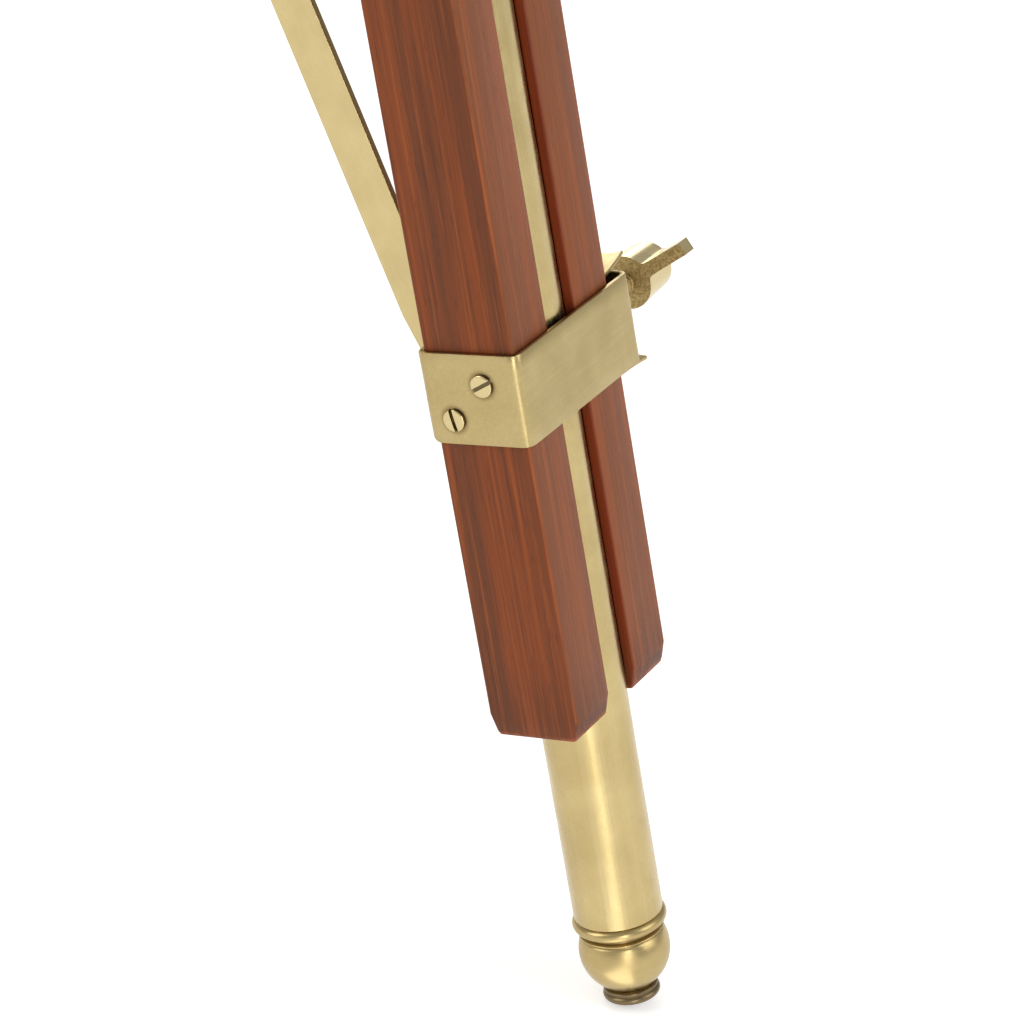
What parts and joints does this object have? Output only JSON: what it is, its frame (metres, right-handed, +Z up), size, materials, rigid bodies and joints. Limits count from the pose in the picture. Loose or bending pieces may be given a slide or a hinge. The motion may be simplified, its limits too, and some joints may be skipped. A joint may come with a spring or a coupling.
{
  "type": "wooden field tripod",
  "caption": "Folding tripod with double-rail hardwood legs, sliding brass tubes, clamp bands, struts to a hub on a central column, and a stud-mounted head.",
  "frame": {"origin": "centre of the camera seat, on the column's axis at the top of the seat pad", "axes": "+Z up along the camera stud and the column; +X towards the foot of leg 1"},
  "size_m": [0.5202, 0.561, 1.0679],
  "materials": {
    "rail_wood": "red-brown stained hardwood, fine straight grain, satin",
    "sheet_brass": "brushed antique brass sheet, satin",
    "tube_brass": "drawn brass tube, polished, lengthwise streaks",
    "turned_brass": "turned brass, soft polish",
    "cast_brass": "cast brass, rough faces and polished rims",
    "screw_brass": "bright brass, turned and slotted",
    "pad_leather": "dark leather, fine grain"
  },
  "bodies": {
    "head": {"head_board": "rail_wood", "head_spider": "cast_brass", "head_bolts": "screw_brass", "seat_pad": "pad_leather", "camera_stud": "screw_brass", "column": "tube_brass", "column_finial": "turned_brass"},
    "hub": {"hub": "cast_brass"},
    "hub_thumb_screw": {"hub_thumb_screw": "turned_brass"},
    "leg_1": {"leg_1_rail_1": "rail_wood", "leg_1_rail_2": "rail_wood", "leg_1_spacer": "rail_wood", "leg_1_top_band": "sheet_brass", "leg_1_strap": "sheet_brass", "leg_1_strap_screws": "screw_brass", "leg_1_shoe": "sheet_brass", "leg_1_clamp_nut": "cast_brass", "leg_1_strut_lug": "sheet_brass", "leg_1_hinge_bolt": "turned_brass", "leg_1_hinge_nut": "turned_brass"},
    "leg_1_tube": {"leg_1_tube": "tube_brass", "leg_1_tube_plug": "turned_brass", "leg_1_foot": "turned_brass"},
    "leg_1_wing_screw": {"leg_1_wing_screw": "cast_brass"},
    "leg_1_strut": {"leg_1_strut": "sheet_brass", "leg_1_strut_rivets": "screw_brass"},
    "leg_2": {"leg_2_rail_1": "rail_wood", "leg_2_rail_2": "rail_wood", "leg_2_spacer": "rail_wood", "leg_2_top_band": "sheet_brass", "leg_2_strap": "sheet_brass", "leg_2_strap_screws": "screw_brass", "leg_2_shoe": "sheet_brass", "leg_2_clamp_nut": "cast_brass", "leg_2_strut_lug": "sheet_brass", "leg_2_hinge_bolt": "turned_brass", "leg_2_hinge_nut": "turned_brass"},
    "leg_2_tube": {"leg_2_tube": "tube_brass", "leg_2_tube_plug": "turned_brass", "leg_2_foot": "turned_brass"},
    "leg_2_wing_screw": {"leg_2_wing_screw": "cast_brass"},
    "leg_2_strut": {"leg_2_strut": "sheet_brass", "leg_2_strut_rivets": "screw_brass"},
    "leg_3": {"leg_3_rail_1": "rail_wood", "leg_3_rail_2": "rail_wood", "leg_3_spacer": "rail_wood", "leg_3_top_band": "sheet_brass", "leg_3_strap": "sheet_brass", "leg_3_strap_screws": "screw_brass", "leg_3_shoe": "sheet_brass", "leg_3_clamp_nut": "cast_brass", "leg_3_strut_lug": "sheet_brass", "leg_3_hinge_bolt": "turned_brass", "leg_3_hinge_nut": "turned_brass"},
    "leg_3_tube": {"leg_3_tube": "tube_brass", "leg_3_tube_plug": "turned_brass", "leg_3_foot": "turned_brass"},
    "leg_3_wing_screw": {"leg_3_wing_screw": "cast_brass"},
    "leg_3_strut": {"leg_3_strut": "sheet_brass", "leg_3_strut_rivets": "screw_brass"}
  },
  "joints": [
    {"name": "leg_1_fold", "type": "hinge", "parent": "head", "child": "leg_1", "pos_m": [0.06, 0, -0.042], "axis": [0, 1, 0], "range_deg": [0, 14]},
    {"name": "leg_1_tube_slide", "type": "slide", "parent": "leg_1", "child": "leg_1_tube", "axis": [0.2419, 0, -0.9703], "range_m": [-0.06, 0.34]},
    {"name": "leg_1_wing_turn", "type": "hinge", "parent": "leg_1", "child": "leg_1_wing_screw", "pos_m": [0.26571, 0.035, -0.86704], "axis": [0, 1, 0], "continuous": true},
    {"name": "leg_1_strut_swing", "type": "hinge", "parent": "leg_1", "child": "leg_1_strut", "pos_m": [0.24067, 0, -0.87328], "axis": [0, 1, 0], "range_deg": [0, 14.95]},
    {"name": "leg_2_fold", "type": "hinge", "parent": "head", "child": "leg_2", "pos_m": [-0.03, 0.05196, -0.042], "axis": [-0.866, -0.5, 0], "range_deg": [-0.05, 14.05]},
    {"name": "leg_2_tube_slide", "type": "slide", "parent": "leg_2", "child": "leg_2_tube", "axis": [-0.121, 0.2095, -0.9703], "range_m": [-0.06, 0.34]},
    {"name": "leg_2_wing_turn", "type": "hinge", "parent": "leg_2", "child": "leg_2_wing_screw", "pos_m": [-0.16316, 0.21261, -0.86704], "axis": [-0.866, -0.5, 0], "continuous": true},
    {"name": "leg_2_strut_swing", "type": "hinge", "parent": "leg_2", "child": "leg_2_strut", "pos_m": [-0.12034, 0.20843, -0.87328], "axis": [-0.866, -0.5, 0], "range_deg": [0, 14.95]},
    {"name": "leg_3_fold", "type": "hinge", "parent": "head", "child": "leg_3", "pos_m": [-0.03, -0.05196, -0.042], "axis": [0.866, -0.5, 0], "range_deg": [-0.05, 14.05]},
    {"name": "leg_3_tube_slide", "type": "slide", "parent": "leg_3", "child": "leg_3_tube", "axis": [-0.121, -0.2095, -0.9703], "range_m": [-0.06, 0.34]},
    {"name": "leg_3_wing_turn", "type": "hinge", "parent": "leg_3", "child": "leg_3_wing_screw", "pos_m": [-0.10254, -0.24761, -0.86704], "axis": [0.866, -0.5, 0], "continuous": true},
    {"name": "leg_3_strut_swing", "type": "hinge", "parent": "leg_3", "child": "leg_3_strut", "pos_m": [-0.12034, -0.20843, -0.87328], "axis": [0.866, -0.5, 0], "range_deg": [0, 14.95]},
    {"name": "hub_slide", "type": "slide", "parent": "head", "child": "hub", "axis": [0, 0, 1], "range_m": [0, 0.03429]},
    {"name": "hub_screw_turn", "type": "hinge", "parent": "hub", "child": "hub_thumb_screw", "pos_m": [-0.02, 0, -0.49849], "axis": [-1, 0, 0], "range_deg": [0, 270]}
  ],
  "couplings": [
    {"joint": "leg_1_strut_swing", "follows": "leg_1_fold", "ratio": 1.0607},
    {"joint": "leg_2_strut_swing", "follows": "leg_1_fold", "ratio": 1.0607},
    {"joint": "leg_2_fold", "follows": "leg_1_fold", "ratio": 1},
    {"joint": "leg_3_strut_swing", "follows": "leg_1_fold", "ratio": 1.0607},
    {"joint": "leg_3_fold", "follows": "leg_1_fold", "ratio": 1},
    {"joint": "hub_slide", "follows": "leg_1_fold", "m_per_rad": 0.13953}
  ]
}
